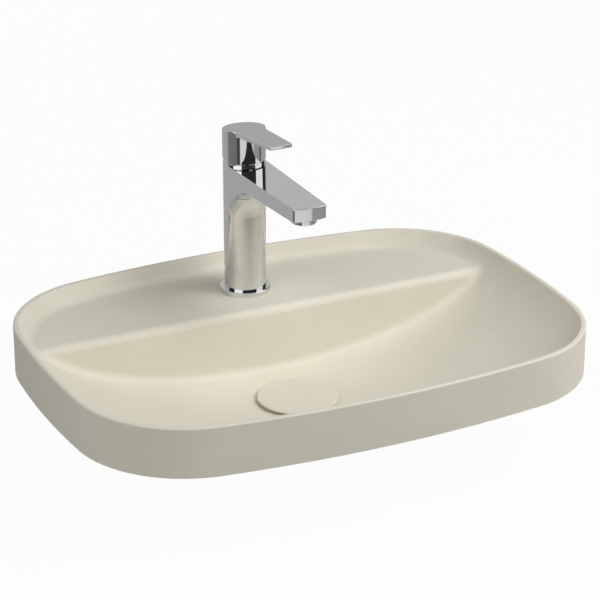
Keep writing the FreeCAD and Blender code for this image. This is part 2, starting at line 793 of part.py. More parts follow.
soften(tap_body, "spout_edge_round", lambda edge: not upright(edge) and edge.BoundBox.YMin < spout_front)
column_plan = new_sketch(tap_body, "XY_Plane", "base_seat")
add_circle(column_plan, "tap_radius")
pad(tap_body, column_plan, f"{BODY_TOP} - base_seat")
turn(tap_body, [
    ("0", "base_seat - cut_margin"),
    (SHANK_BORE, "base_seat - cut_margin"),
    (SHANK_BORE, "shank_top"),
    ("0", "shank_top"),
], "PartDesign::Groove")
turn(tap_body, [
    ("0", "chamber_floor"),
    ("gallery_radius", "chamber_floor"),
    ("gallery_radius", "chamber_floor + gallery_height"),
    ("chamber_radius", "chamber_floor + gallery_height"),
    ("chamber_radius", "chamber_floor + housing_shoulder - nut_bore_room"),
    ("nut_bore_radius", "chamber_floor + housing_shoulder - nut_bore_room"),
    ("nut_bore_radius", f"{BODY_TOP} + cut_margin"),
    ("0", f"{BODY_TOP} + cut_margin"),
], "PartDesign::Groove")
FORWARD = FreeCAD.Rotation(Vector(1, 0, 0), 90)
BACKWARD = FreeCAD.Rotation(Vector(1, 0, 0), -90)
SIDEWAYS = FreeCAD.Rotation(Vector(0, 1, 0), 90)
AERATOR_REACH = "spout_reach - aerator_setback"
drill(
    tap_body, "water_way_radius", f"{AERATOR_REACH} - chamber_radius",
    ("0", "cut_margin - chamber_radius", "water_way_height"), FORWARD,
)
AERATOR_TOP = "aerator_shoulder + aerator_thread_height + aerator_seal_height"
drill(
    tap_body, "aerator_radius + seat_fit", "aerator_shoulder - spout_under_root",
    ("0", f"-({AERATOR_REACH})", "spout_under_root"),
)
drill(
    tap_body, "aerator_thread_radius + seat_fit", f"{AERATOR_TOP} - spout_under_root",
    ("0", f"-({AERATOR_REACH})", "spout_under_root"),
)
drill(tap_body, "aerator_seal_bore", "aerator_room", ("0", f"-({AERATOR_REACH})", AERATOR_TOP))
for side in ("-inlet_side", "inlet_side"):
    inlet_low = (side, "-inlet_front", "shank_top - cut_margin")
    drill(tap_body, "inlet_radius", "inlet_depth + cut_margin", inlet_low)
    drill(tap_body, "port_radius", "chamber_floor - shank_top + 2 * cut_margin", inlet_low)
stud_hole_low = ("0", "stud_back", "shank_top - cut_margin")
drill(tap_body, "stud_radius + thread_fit", "stud_grip + cut_margin", stud_hole_low)

# Tap fixing: a stud from the body through the tap hole, with a horseshoe pad, plate and nut
AT_STUD = "tap_back + stud_back"
PAD_LOW = f"{LEDGE_TOP} - ledge_wall - clamp_pad_height"
PLATE_LOW = f"{PAD_LOW} - clamp_plate_height"
CLAMP_NUT_LOW = f"{PLATE_LOW} - clamp_nut_height"
STUD_LOW = "-ledge_wall - stud_below"

turned_piece("fixing_stud", AT_STUD, LEDGE_TOP, [
    ("0", STUD_LOW),
    ("stud_radius - stud_chamfer", STUD_LOW),
    ("stud_radius", f"{STUD_LOW} + stud_chamfer"),
    ("stud_radius", "shank_top + stud_grip"),
    ("0", "shank_top + stud_grip"),
])


def horseshoe(label, low, radius, thickness):
    """A disc slotted open at the front for the water tails, with a hole for the stud."""
    body = new_body(label, "tap_back", low)
    primitive(body, "AdditiveCylinder", {"Radius": radius, "Height": thickness}, ("0", "0", "0"))
    box(
        body, "SubtractiveBox",
        ("-clamp_slot_half", "clamp_slot_half"),
        ("-clamp_radius - cut_margin", "clamp_slot_back"),
        ("-cut_margin", f"{thickness} + cut_margin"),
    )
    stud_hole = ("0", "stud_back", "-cut_margin")
    drill(body, "stud_radius + neck_gap", f"{thickness} + 2 * cut_margin", stud_hole)
    return body


horseshoe("clamp_pad", PAD_LOW, "clamp_radius", "clamp_pad_height")
horseshoe("clamp_plate", PLATE_LOW, "clamp_radius - clamp_plate_inset", "clamp_plate_height")
CLAMP_BORE = "stud_radius + seat_fit"
hex_nut("clamp_nut", AT_STUD, CLAMP_NUT_LOW, "clamp_nut_radius", "clamp_nut_height", CLAMP_BORE)

# Aerator: a screwed ring with its jet plate and seal, in the end of the spout
AT_AERATOR = (f"tap_back - ({AERATOR_REACH})", LEDGE_TOP)
THREAD_TOP = "aerator_shoulder + aerator_thread_height"

turned_piece("aerator_ring", *AT_AERATOR, [
    ("aerator_bore", "aerator_bottom"),
    ("aerator_radius - aerator_chamfer", "aerator_bottom"),
    ("aerator_radius", "aerator_bottom + aerator_chamfer"),
    ("aerator_radius", "aerator_shoulder"),
    ("aerator_thread_radius", "aerator_shoulder"),
    ("aerator_thread_radius", THREAD_TOP),
    ("aerator_bore", THREAD_TOP),
])

jet_plate = new_body("aerator_jet_plate", *AT_AERATOR)
jet_plan = new_sketch(jet_plate, "XY_Plane", "aerator_bottom + jet_plate_recess")
add_circle(jet_plan, "aerator_bore - thread_fit")
JETS_PER_RING = 6
for ring in (1, 2):
    for step in range(JETS_PER_RING * ring):
        around = 360 * step / (JETS_PER_RING * ring)
        across = f"{ring} * jet_ring * cos({around} * 1 deg)"
        up = f"{ring} * jet_ring * sin({around} * 1 deg)"
        add_circle(jet_plan, "jet_radius", across, up)
pad(jet_plate, jet_plan, "jet_plate_height")

turned_piece("aerator_seal", *AT_AERATOR, [
    ("aerator_seal_bore", THREAD_TOP),
    ("aerator_thread_radius", THREAD_TOP),
    ("aerator_thread_radius", AERATOR_TOP),
    ("aerator_seal_bore", AERATOR_TOP),
])

# Cartridge: port plate with two seals, two ceramic discs, driver, rotor and housing
AT_CHAMBER = ("tap_back", CHAMBER)
CARTRIDGE_RADIUS = "chamber_radius - cartridge_clearance"
SLIDER_LOW = "port_plate_height + disc_height"
DRIVER_LOW = "port_plate_height + 2 * disc_height"
HOUSING_BORE = f"{CARTRIDGE_RADIUS} - housing_wall"
ROOF_LOW = "housing_shoulder - housing_roof"
FLANGE_TOP = f"{ROOF_LOW} - neck_gap"
FLANGE_LOW = f"{FLANGE_TOP} - rotor_flange_height"
TIP_FLOOR = "pivot_height - spindle_tip_drop - spindle_tip_radius - spindle_tip_room"

port_plate = turned_piece("cartridge_port_plate", *AT_CHAMBER, [
    ("0", "0"),
    (CARTRIDGE_RADIUS, "0"),
    (CARTRIDGE_RADIUS, "port_plate_height"),
    ("0", "port_plate_height"),
])
for name, side in (("hot_port_seal", "-inlet_side"), ("cold_port_seal", "inlet_side")):
    port_low = (side, "-inlet_front", "-cut_margin")
    drill(port_plate, "port_radius", "port_plate_height + 2 * cut_margin", port_low)
    drill(port_plate, "port_seal_radius", "port_seal_height + cut_margin", port_low)
    seal = new_body(name, "tap_back - inlet_front", CHAMBER)
    seal.setExpression("Placement.Base.x", bound(side))
    turn(seal, [
        ("port_radius + port_seal_gap", "0"),
        ("port_seal_radius", "0"),
        ("port_seal_radius", "port_seal_height"),
        ("port_radius + port_seal_gap", "port_seal_height"),
    ])
box(
    port_plate, "SubtractiveBox",
    ("-outlet_radius", "outlet_radius"),
    ("outlet_back - outlet_radius", f"{CARTRIDGE_RADIUS} + cut_margin"),
    ("port_plate_height / 2", "port_plate_height + cut_margin"),
)

fixed_disc = turned_piece("fixed_disc", *AT_CHAMBER, [
    ("0", "port_plate_height"),
    ("disc_radius", "port_plate_height"),
    ("disc_radius", SLIDER_LOW),
    ("0", SLIDER_LOW),
])
DISC_CUT_LOW = "port_plate_height - cut_margin"
for side in ("-inlet_side", "inlet_side"):
    drill(fixed_disc, "port_radius", "disc_height + 2 * cut_margin", (side, "-inlet_front", DISC_CUT_LOW))
drill(fixed_disc, "outlet_radius", "disc_height + 2 * cut_margin", ("0", "outlet_back", DISC_CUT_LOW))

moving_disc = turned_piece("moving_disc", *AT_CHAMBER, [
    ("0", SLIDER_LOW),
    ("slider_radius", SLIDER_LOW),
    ("slider_radius", DRIVER_LOW),
    ("0", DRIVER_LOW),
])
box(
    moving_disc, "SubtractiveBox",
    ("-mixing_half", "mixing_half"),
    ("-mixing_front", "mixing_back"),
    (f"{SLIDER_LOW} - cut_margin", f"{SLIDER_LOW} + mixing_depth"),
)
mixing_outlet = ("0", "outlet_back", f"{SLIDER_LOW} - cut_margin")
drill(moving_disc, "outlet_radius", "mixing_depth + cut_margin", mixing_outlet)

disc_driver = turned_piece("disc_driver", *AT_CHAMBER, [
    ("0", DRIVER_LOW),
    ("slider_radius", DRIVER_LOW),
    ("slider_radius", f"{DRIVER_LOW} + driver_plate_height"),
    ("0", f"{DRIVER_LOW} + driver_plate_height"),
])
box(
    disc_driver, "AdditiveBox",
    ("-driver_half_width", "driver_half_width"),
    ("-driver_half_length", "driver_half_length"),
    (DRIVER_LOW, f"{DRIVER_LOW} + driver_height"),
)
box(
    disc_driver, "SubtractiveBox",
    ("-spindle_half - neck_gap", "spindle_half + neck_gap"),
    ("-spindle_tip_radius - neck_gap", "spindle_tip_radius + neck_gap"),
    (TIP_FLOOR, f"{DRIVER_LOW} + driver_height + cut_margin"),
)

turned_piece("cartridge_housing", *AT_CHAMBER, [
    (HOUSING_BORE, "port_plate_height"),
    (CARTRIDGE_RADIUS, "port_plate_height"),
    (CARTRIDGE_RADIUS, "housing_shoulder"),
    ("housing_neck_radius", "housing_shoulder"),
    ("housing_neck_radius", "housing_neck_top"),
    ("rotor_radius + running_fit", "housing_neck_top"),
    ("rotor_radius + running_fit", ROOF_LOW),
    (HOUSING_BORE, ROOF_LOW),
])

rotor = turned_piece("cartridge_rotor", *AT_CHAMBER, [
    ("0", FLANGE_LOW),
    ("rotor_flange_radius", FLANGE_LOW),
    ("rotor_flange_radius", FLANGE_TOP),
    ("rotor_radius", FLANGE_TOP),
    ("rotor_radius", "rotor_top"),
    ("0", "rotor_top"),
])
box(
    rotor, "SubtractiveBox",
    ("-spindle_half - neck_gap", "spindle_half + neck_gap"),
    ("-rotor_slot_half", "rotor_slot_half"),
    ("0", "rotor_top + cut_margin"),
)
pin_hole = ("-rotor_radius - cut_margin", "0", "pivot_height")
drill(rotor, "pin_radius", "2 * rotor_radius + 2 * cut_margin", pin_hole, SIDEWAYS)

pivot_pin = new_body("pivot_pin", "tap_back", PIVOT)
primitive(
    pivot_pin, "AdditiveCylinder",
    {"Radius": "pin_radius", "Height": "2 * pin_half_length"}, ("-pin_half_length", "0", "0"), SIDEWAYS,
)

nut = turned_piece("cartridge_nut", *AT_CHAMBER, [
    ("housing_neck_radius + neck_gap", "housing_shoulder"),
    ("nut_bore_radius - seat_fit", "housing_shoulder"),
    ("nut_bore_radius - seat_fit", "housing_shoulder + cartridge_nut_height"),
    ("housing_neck_radius + neck_gap", "housing_shoulder + cartridge_nut_height"),
])
notch = box(
    nut, "SubtractiveBox",
    ("-nut_notch / 2", "nut_notch / 2"),
    ("nut_bore_radius - nut_notch / 2", "nut_bore_radius + cut_margin"),
    ("housing_shoulder + nut_notch_floor", "housing_shoulder + cartridge_nut_height + cut_margin"),
)
NOTCH_COUNT = 6
polar(nut, notch, NOTCH_COUNT)

BONNET_TOP = "neck_height + bonnet_rise"
turned_piece("bonnet_ring", *AT_CHAMBER, [
    ("nut_bore_radius + seat_fit", "neck_height"),
    ("bonnet_radius", "neck_height"),
    ("bonnet_radius", f"{BONNET_TOP} - bonnet_chamfer"),
    ("bonnet_radius - bonnet_chamfer", BONNET_TOP),
    ("housing_neck_radius + 2 * neck_gap", BONNET_TOP),
    ("housing_neck_radius + 2 * neck_gap", f"{BONNET_TOP} - bonnet_plate"),
    ("nut_bore_radius + seat_fit", f"{BONNET_TOP} - bonnet_plate"),
])

# Spindle: a square shank on the pivot pin with a round tip that pushes the driver
AT_PIVOT = ("tap_back", PIVOT)
spindle = new_body("spindle", *AT_PIVOT)
box(
    spindle, "AdditiveBox",
    ("-spindle_half", "spindle_half"),
    ("-spindle_half", "spindle_half"),
    ("-spindle_shoulder", "spindle_top"),
)
box(
    spindle, "AdditiveBox",
    ("-spindle_half", "spindle_half"),
    ("-spindle_neck_half", "spindle_neck_half"),
    ("-spindle_tip_drop", "0"),
)
primitive(
    spindle, "AdditiveCylinder",
    {"Radius": "spindle_tip_radius", "Height": "2 * spindle_half"},
    ("-spindle_half", "0", "-spindle_tip_drop"), SIDEWAYS,
)
cross_hole = ("-spindle_half - cut_margin", "0", "0")
drill(spindle, "pin_radius + running_fit", "2 * spindle_half + 2 * cut_margin", cross_hole, SIDEWAYS)

# Lever handle: a round skirt closed by a flat plate that runs forward as a narrower lever
SLOPE = "tan(lever_rise * 1 deg)"
UNDER_BACK = f"handle_top - handle_radius * {SLOPE} - lever_root_height"
UNDER_TIP = f"handle_top + lever_reach * {SLOPE} - lever_tip_height"
TOP_BACK = f"handle_top - (handle_radius + cut_margin) * {SLOPE}"
TOP_FRONT = f"handle_top + (lever_reach + cut_margin) * {SLOPE}"
BLANK_HIGH = "2 * handle_top"
HANDLE_BACK = "handle_radius + cut_margin"
LEVER_END = "-lever_reach - cut_margin"

handle = new_body("lever_handle", *AT_PIVOT)
lever_plan = new_sketch(handle, "XY_Plane")
add_paddle(lever_plan, "lever_root_half", "lever_reach", "lever_tip_half", "lever_end_bow")
pad(handle, lever_plan, BLANK_HIGH)
side_cut(handle, [
    (HANDLE_BACK, "-cut_margin"),
    (HANDLE_BACK, UNDER_BACK),
    ("handle_radius", UNDER_BACK),
    ("-lever_reach", UNDER_TIP),
    (LEVER_END, UNDER_TIP),
    (LEVER_END, "-cut_margin"),
])
lever_front = -value("lever_reach") / 2
soften(handle, "lever_corner_round", lambda edge: upright(edge) and edge.BoundBox.YMax < lever_front)
skirt_plan = new_sketch(handle, "XY_Plane")
add_circle(skirt_plan, "handle_radius")
pad(handle, skirt_plan, BLANK_HIGH)
side_cut(handle, [
    (HANDLE_BACK, f"{BLANK_HIGH} + cut_margin"),
    (HANDLE_BACK, TOP_BACK),
    (LEVER_END, TOP_FRONT),
    (LEVER_END, f"{BLANK_HIGH} + cut_margin"),
])
side_cut(handle, [
    (HANDLE_BACK, "-cut_margin"),
    (HANDLE_BACK, "handle_back_low"),
    ("handle_radius", "handle_back_low"),
    ("handle_relief_back", "handle_relief_low"),
    ("-handle_relief_front", "handle_front_low"),
    ("-handle_radius - cut_margin", "handle_front_low"),
    ("-handle_radius - cut_margin", "-cut_margin"),
])
plate_low = value(UNDER_BACK) + value("lever_tip_height") / 2
soften(handle, "handle_edge_round", lambda edge: edge.BoundBox.ZMin > plate_low and not upright(edge))
turn(handle, [
    ("0", "-cut_margin"),
    ("handle_radius - handle_wall", "-cut_margin"),
    ("handle_radius - handle_wall", "handle_roof"),
    ("0", "handle_roof"),
], "PartDesign::Groove")
box(
    handle, "AdditiveBox",
    ("-socket_half", "socket_half"),
    ("-socket_half", "socket_half"),
    ("socket_low", "handle_roof + cut_margin"),
)
box(
    handle, "SubtractiveBox",
    ("-spindle_half - seat_fit", "spindle_half + seat_fit"),
    ("-spindle_half - seat_fit", "spindle_half + seat_fit"),
    ("socket_low - cut_margin", "spindle_top + neck_gap"),
)
drill(handle, "set_screw_radius", "socket_half", ("0", "spindle_half", "set_screw_height"), BACKWARD)
drill(
    handle, "screw_plug_radius", "handle_radius - socket_half",
    ("0", "socket_half + cut_margin", "set_screw_height"), BACKWARD,
)

set_screw = new_body("handle_set_screw", *AT_PIVOT)
primitive(
    set_screw, "AdditiveCylinder",
    {"Radius": "set_screw_radius", "Height": "set_screw_length"},
    ("0", "spindle_half", "set_screw_height"), BACKWARD,
)
primitive(
    set_screw, "SubtractivePrism",
    {"Circumradius": "hex_key_radius", "Height": "hex_key_depth"},
    ("0", "spindle_half + set_screw_length - hex_key_depth", "set_screw_height"), BACKWARD,
)

screw_plug = new_body("handle_screw_plug", *AT_PIVOT)
primitive(
    screw_plug, "AdditiveCylinder",
    {"Radius": "screw_plug_radius", "Height": "screw_plug_length"},
    ("0", "handle_radius - screw_plug_length - screw_plug_inset", "set_screw_height"), BACKWARD,
)

doc.recompute()

# Every object must be sound before anything is written
for item in doc.Objects:
    if {"Invalid", "Error"} & set(item.State):
        raise RuntimeError(f"{item.Label} failed: {item.State}")
for piece in pieces:
    if piece.Shape.isNull() or not piece.Shape.isValid():
        raise RuntimeError(f"{piece.Label} has no sound shape")
    if len(piece.Shape.Solids) != 1:
        raise RuntimeError(f"{piece.Label} has {len(piece.Shape.Solids)} solids")

os.makedirs("parts", exist_ok=True)
for piece in pieces:
    piece.Shape.exportStep(f"parts/{piece.Label}.step")
    print(piece.Label, round(piece.Shape.Volume / 1000, 3), "cm3")
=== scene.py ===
import math
import bmesh
import bpy
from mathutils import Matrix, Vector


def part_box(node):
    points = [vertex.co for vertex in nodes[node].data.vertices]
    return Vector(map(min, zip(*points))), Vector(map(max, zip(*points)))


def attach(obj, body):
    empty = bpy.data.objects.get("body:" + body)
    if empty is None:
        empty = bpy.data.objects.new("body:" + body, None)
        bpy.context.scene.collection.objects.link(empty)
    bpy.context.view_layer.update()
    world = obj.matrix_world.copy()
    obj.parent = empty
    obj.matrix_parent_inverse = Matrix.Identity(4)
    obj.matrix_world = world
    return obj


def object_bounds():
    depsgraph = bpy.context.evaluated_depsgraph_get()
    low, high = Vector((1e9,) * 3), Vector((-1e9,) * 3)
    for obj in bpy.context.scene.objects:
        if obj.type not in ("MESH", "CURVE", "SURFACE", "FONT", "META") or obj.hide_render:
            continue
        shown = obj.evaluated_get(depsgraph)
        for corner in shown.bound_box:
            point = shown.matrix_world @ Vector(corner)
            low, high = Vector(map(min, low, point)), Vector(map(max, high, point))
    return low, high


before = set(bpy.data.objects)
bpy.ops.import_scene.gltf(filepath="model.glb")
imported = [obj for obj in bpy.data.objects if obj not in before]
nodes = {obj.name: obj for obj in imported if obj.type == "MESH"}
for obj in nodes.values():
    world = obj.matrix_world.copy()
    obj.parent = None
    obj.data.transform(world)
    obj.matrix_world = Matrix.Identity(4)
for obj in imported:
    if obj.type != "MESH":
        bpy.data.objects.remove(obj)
cad_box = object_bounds()

# Basin: one casting of fine fireclay under a matte beige glaze, fired as a single piece.
# The glaze is even, with a faint clouding and a skin like very fine paper.
# The basin rests on the counter by its foot and is bedded in silicone.
GLAZE_DARK = (0.796, 0.760, 0.643, 1)
GLAZE_LIGHT = (0.830, 0.793, 0.673, 1)
GLAZE_CLOUD = 14
GLAZE_SKIN = 1400
GLAZE_ROUGHNESS = (0.40, 0.48)
GLAZE_BUMP = 0.00004
PATTERN_SPAN = (0.3, 0.7)
CLOUD_DETAIL = 4
SMEAR_DETAIL = 3
GRAIN_DETAIL = 2


def new_finish(name):
    """A fresh material with its node tree and its shader."""
    finish = bpy.data.materials.new(name)
    finish.use_nodes = True
    return finish, finish.node_tree, finish.node_tree.nodes["Principled BSDF"]


def noise(tree, scale, detail, stretch=(1, 1, 1)):
    """A cloudy pattern in the part's own metres."""
    place = tree.nodes.new("ShaderNodeTexCoord")
    shape = tree.nodes.new("ShaderNodeMapping")
    shape.inputs["Scale"].default_value = stretch
    cloud = tree.nodes.new("ShaderNodeTexNoise")
    cloud.inputs["Scale"].default_value = scale
    cloud.inputs["Detail"].default_value = detail
    tree.links.new(place.outputs["Object"], shape.inputs["Vector"])
    tree.links.new(shape.outputs["Vector"], cloud.inputs["Vector"])
    return cloud.outputs["Fac"]


def shade(tree, pattern, socket, dark, light):
    """Colours a socket from dark to light along a pattern."""
    ramp = tree.nodes.new("ShaderNodeValToRGB")
    for stop, place, colour in zip(ramp.color_ramp.elements, PATTERN_SPAN, (dark, light)):
        stop.position = place
        stop.color = colour
    tree.links.new(pattern, ramp.inputs["Fac"])
    tree.links.new(ramp.outputs["Color"], socket)


def vary(tree, pattern, socket, low, high):
    """Sets a socket between two numbers along a pattern."""
    spread = tree.nodes.new("ShaderNodeMapRange")
    spread.inputs["From Min"].default_value = PATTERN_SPAN[0]
    spread.inputs["From Max"].default_value = PATTERN_SPAN[1]
    spread.inputs["To Min"].default_value = low
    spread.inputs["To Max"].default_value = high
    tree.links.new(pattern, spread.inputs["Value"])
    tree.links.new(spread.outputs["Result"], socket)


def skin(tree, pattern, shader, depth):
    """Raises a pattern as a fine relief of a given depth in metres."""
    relief = tree.nodes.new("ShaderNodeBump")
    relief.inputs["Strength"].default_value = 1
    relief.inputs["Distance"].default_value = depth
    tree.links.new(pattern, relief.inputs["Height"])
    tree.links.new(relief.outputs["Normal"], shader.inputs["Normal"])


def dress(finish, *names):
    """Gives a finish to nodes of the construction."""
    for name in names:
        for slot in nodes[name].material_slots:
            slot.material = finish


matte_glaze, tree, shader = new_finish("matte_glaze")
cloud = noise(tree, GLAZE_CLOUD, CLOUD_DETAIL)
shade(tree, cloud, shader.inputs["Base Color"], GLAZE_DARK, GLAZE_LIGHT)
vary(tree, cloud, shader.inputs["Roughness"], *GLAZE_ROUGHNESS)
skin(tree, noise(tree, GLAZE_SKIN, GRAIN_DETAIL), shader, GLAZE_BUMP)
dress(matte_glaze, "basin")

# Waste: a chromed brass tail that hangs in the bowl's hole by its flange.
# A rubber ring lies under the flange. A rubber cone, a slip washer and a brass nut clamp it from below.
# The arms inside carry a white guide for the plug, and the tail has a pipe thread for the trap.
CHROME_DARK = (0.73, 0.735, 0.74, 1)
CHROME_LIGHT = (0.77, 0.775, 0.78, 1)
CHROME_SMEAR = 60
CHROME_ROUGHNESS = (0.03, 0.07)
RUBBER_DARK = (0.020, 0.020, 0.021, 1)
RUBBER_LIGHT = (0.040, 0.040, 0.041, 1)
RUBBER_DUST = 300
RUBBER_SKIN = 2500
RUBBER_ROUGHNESS = (0.55, 0.75)
RUBBER_BUMP = 0.00005
BRASS_DARK = (0.60, 0.44, 0.20, 1)
BRASS_LIGHT = (0.74, 0.57, 0.29, 1)
BRASS_MARKS = 900
BRASS_STRETCH = (0.1, 0.1, 1)
BRASS_ROUGHNESS = (0.22, 0.38)
BRASS_BUMP = 0.00003
ACETAL_DARK = (0.74, 0.74, 0.71, 1)
ACETAL_LIGHT = (0.80, 0.80, 0.77, 1)
ACETAL_FLOW = 90
ACETAL_ROUGHNESS = (0.38, 0.5)
WASTE_BACK = 0.004
TAIL_RADIUS = 0.020955
TAIL_PITCH = 0.002309
TAIL_CREST = 0.0005
THREAD_STEPS = 48
THREAD_RUN_OUT = 0.5
THREAD_SECTION = ((-0.2, -0.45), (1, -0.12), (1, 0.12), (-0.2, 0.45))

polished_chrome, tree, shader = new_finish("polished_chrome")
shader.inputs["Metallic"].default_value = 1
smear = noise(tree, CHROME_SMEAR, SMEAR_DETAIL)
shade(tree, smear, shader.inputs["Base Color"], CHROME_DARK, CHROME_LIGHT)
vary(tree, smear, shader.inputs["Roughness"], *CHROME_ROUGHNESS)

black_rubber, tree, shader = new_finish("black_rubber")
dust = noise(tree, RUBBER_DUST, CLOUD_DETAIL)
shade(tree, dust, shader.inputs["Base Color"], RUBBER_DARK, RUBBER_LIGHT)
vary(tree, dust, shader.inputs["Roughness"], *RUBBER_ROUGHNESS)
skin(tree, noise(tree, RUBBER_SKIN, GRAIN_DETAIL), shader, RUBBER_BUMP)

turned_brass, tree, shader = new_finish("turned_brass")
shader.inputs["Metallic"].default_value = 1
tool_marks = noise(tree, BRASS_MARKS, GRAIN_DETAIL, BRASS_STRETCH)
shade(tree, tool_marks, shader.inputs["Base Color"], BRASS_DARK, BRASS_LIGHT)
vary(tree, tool_marks, shader.inputs["Roughness"], *BRASS_ROUGHNESS)
skin(tree, tool_marks, shader, BRASS_BUMP)

white_acetal, tree, shader = new_finish("white_acetal")
flow = noise(tree, ACETAL_FLOW, CLOUD_DETAIL)
shade(tree, flow, shader.inputs["Base Color"], ACETAL_DARK, ACETAL_LIGHT)
vary(tree, flow, shader.inputs["Roughness"], *ACETAL_ROUGHNESS)

dress(polished_chrome, "waste_body")
dress(black_rubber, "waste_flange_seal", "waste_cone_seal")
dress(white_acetal, "waste_slip_washer", "waste_guide")
dress(turned_brass, "waste_nut")


def add_piece(name, points, faces, smooth, finish):
    """A new mesh on the fixed body, with some of its faces smooth."""
    shape = bpy.data.meshes.new(name)
    shape.from_pydata(points, [], faces)
    for face in shape.polygons:
        face.use_smooth = face.index in smooth
    shell = bmesh.new()
    shell.from_mesh(shape)
    bmesh.ops.recalc_face_normals(shell, faces=shell.faces)
    shell.to_mesh(shape)
    shell.free()
    shape.materials.append(finish)
    piece = bpy.data.objects.new(name, shape)
    bpy.context.scene.collection.objects.link(piece)
    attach(piece, "fixed")


def add_thread(name, back, radius, pitch, crest, low, high, finish):
    """A screw thread on an upright cylinder, one ridge that climbs and runs out at both ends."""
    count = int((high - low - pitch) / pitch * THREAD_STEPS)
    points = []
    for step in range(count + 1):
        angle = math.tau * step / THREAD_STEPS
        fade = min(1, min(step, count - step) / (THREAD_STEPS * THREAD_RUN_OUT))
        middle = low + pitch * (0.5 + step / THREAD_STEPS)
        for out, up in THREAD_SECTION:
            reach = radius + crest * (out * fade if out > 0 else out)
            points.append((reach * math.cos(angle), back + reach * math.sin(angle), middle + pitch * up))
    corners = len(THREAD_SECTION)
    faces = [tuple(range(corners)), tuple(range(corners * count, corners * count + corners))]
    for here in range(0, corners * count, corners):
        there = here + corners
        for i in range(corners):
            beside = (i + 1) % corners
            faces.append((here + i, there + i, there + beside, here + beside))
    add_piece(name, points, faces, (), finish)


tail_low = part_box("waste_body")[0][2]
nut_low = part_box("waste_nut")[0][2]
add_thread("waste_tail_thread", WASTE_BACK, TAIL_RADIUS, TAIL_PITCH, TAIL_CREST, tail_low, nut_low,
           polished_chrome)

# Plug: a brass stem and plate with a rubber ring, glued under a domed cap.
# The cap is ceramic in the basin's own glaze and rises when it is pushed.
dress(turned_brass, "plug_stem", "plug_plate")
dress(black_rubber, "plug_seal")
dress(matte_glaze, "waste_cap")

# Tap body: a brass casting, polished and chromed, that stands in a chromed ring on the ledge.
# A flat rubber ring seals the foot.
# The casting swells in a soft hollow where the spout leaves the column.
TAP_BACK = 0.1324
TAP_RADIUS = 0.0221
SPOUT_UNDER = 0.1602
SPOUT_CLIMB = 0.0364
SPOUT_LEAN = math.radians(1.434)
HOLLOW_RADIUS = 0.0385
HOLLOW_STEPS = 24
HOLLOW_OVERLAP = 0.0008
HOLLOW_LAP = 0.006
HOLLOW_SINK = 0.0003

dress(polished_chrome, "tap_base_ring", "tap_body")
dress(black_rubber, "tap_base_seal")

# A quarter round turns from the column to the spout and ends at the spout's two sides.
rows = []
for step in range(HOLLOW_STEPS + 1):
    climb = math.pi / 2 * step / HOLLOW_STEPS
    reach = TAP_RADIUS + HOLLOW_RADIUS * (1 - math.cos(climb))
    drop = HOLLOW_RADIUS * (1 - math.sin(climb))
    side = math.asin(TAP_RADIUS / reach) - SPOUT_LEAN
    row = []
    for number in range(-HOLLOW_STEPS, HOLLOW_STEPS + 1):
        angle = side * number / HOLLOW_STEPS
        ahead = reach * math.cos(angle)
        under = SPOUT_UNDER + SPOUT_CLIMB * max(0, ahead - TAP_RADIUS)
        row.append((reach * math.sin(angle), TAP_BACK - ahead, under - drop))
    rows.append(row)

# Its foot laps down into the column, and its back closes inside the casting.
sink = 1 - HOLLOW_SINK / TAP_RADIUS
rows.insert(0, [(x * sink, TAP_BACK - (TAP_BACK - y) * sink, z - HOLLOW_LAP) for x, y, z in rows[0]])
rows.append([(x, y, z + HOLLOW_OVERLAP) for x, y, z in rows[-1]])
rows.append([(x, y, SPOUT_UNDER + HOLLOW_OVERLAP) for x, y, z in rows[0]])
width = len(rows[0])
hollow_faces = []
for number in range(len(rows)):
    here = number * width
    there = (number + 1) % len(rows) * width
    hollow_faces += [(here + i, here + i + 1, there + i + 1, there + i) for i in range(width - 1)]
hollow_faces += [tuple(i * width + end for i in range(len(rows))) for end in (0, width - 1)]
hollow_smooth = range((HOLLOW_STEPS + 1) * (width - 1))
add_piece("spout_hollow", sum(rows, []), hollow_faces, hollow_smooth, polished_chrome)

# Tap fixing: a zinc-plated steel stud that hangs from the body through the ledge.
# A rubber pad and a steel horseshoe are drawn up by a long brass nut.
ZINC_DARK = (0.46, 0.47, 0.49, 1)
ZINC_LIGHT = (0.60, 0.61, 0.63, 1)
ZINC_SPANGLE = 240
ZINC_ROUGHNESS = (0.28, 0.45)
STUD_BACK = 0.1424
STUD_RADIUS = 0.004
STUD_PITCH = 0.00125
STUD_CREST = 0.0003

zinc_steel, tree, shader = new_finish("zinc_steel")
shader.inputs["Metallic"].default_value = 1
spangle = noise(tree, ZINC_SPANGLE, SMEAR_DETAIL)
shade(tree, spangle, shader.inputs["Base Color"], ZINC_DARK, ZINC_LIGHT)
vary(tree, spangle, shader.inputs["Roughness"], *ZINC_ROUGHNESS)

dress(zinc_steel, "fixing_stud", "clamp_plate")
dress(black_rubber, "clamp_pad")
dress(turned_brass, "clamp_nut")

stud_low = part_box("fixing_stud")[0][2]
clamp_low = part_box("clamp_nut")[0][2]
add_thread("stud_thread", STUD_BACK, STUD_RADIUS, STUD_PITCH, STUD_CREST, stud_low, clamp_low,
           zinc_steel)

# Aerator: a chromed ring with a moulded white jet plate inside.
# It is screwed into the end of the spout on a rubber ring.
dress(polished_chrome, "aerator_ring")
dress(white_acetal, "aerator_jet_plate")
dress(black_rubber, "aerator_seal")

# Cartridge: white mouldings round two ground ceramic discs, on two rubber port seals.
# A steel pin carries the spindle, and a brass nut under a chromed ring holds it all down.
DISC_DARK = (0.76, 0.75, 0.71, 1)
DISC_LIGHT = (0.82, 0.81, 0.78, 1)
DISC_HAZE = 500
DISC_ROUGHNESS = (0.25, 0.35)

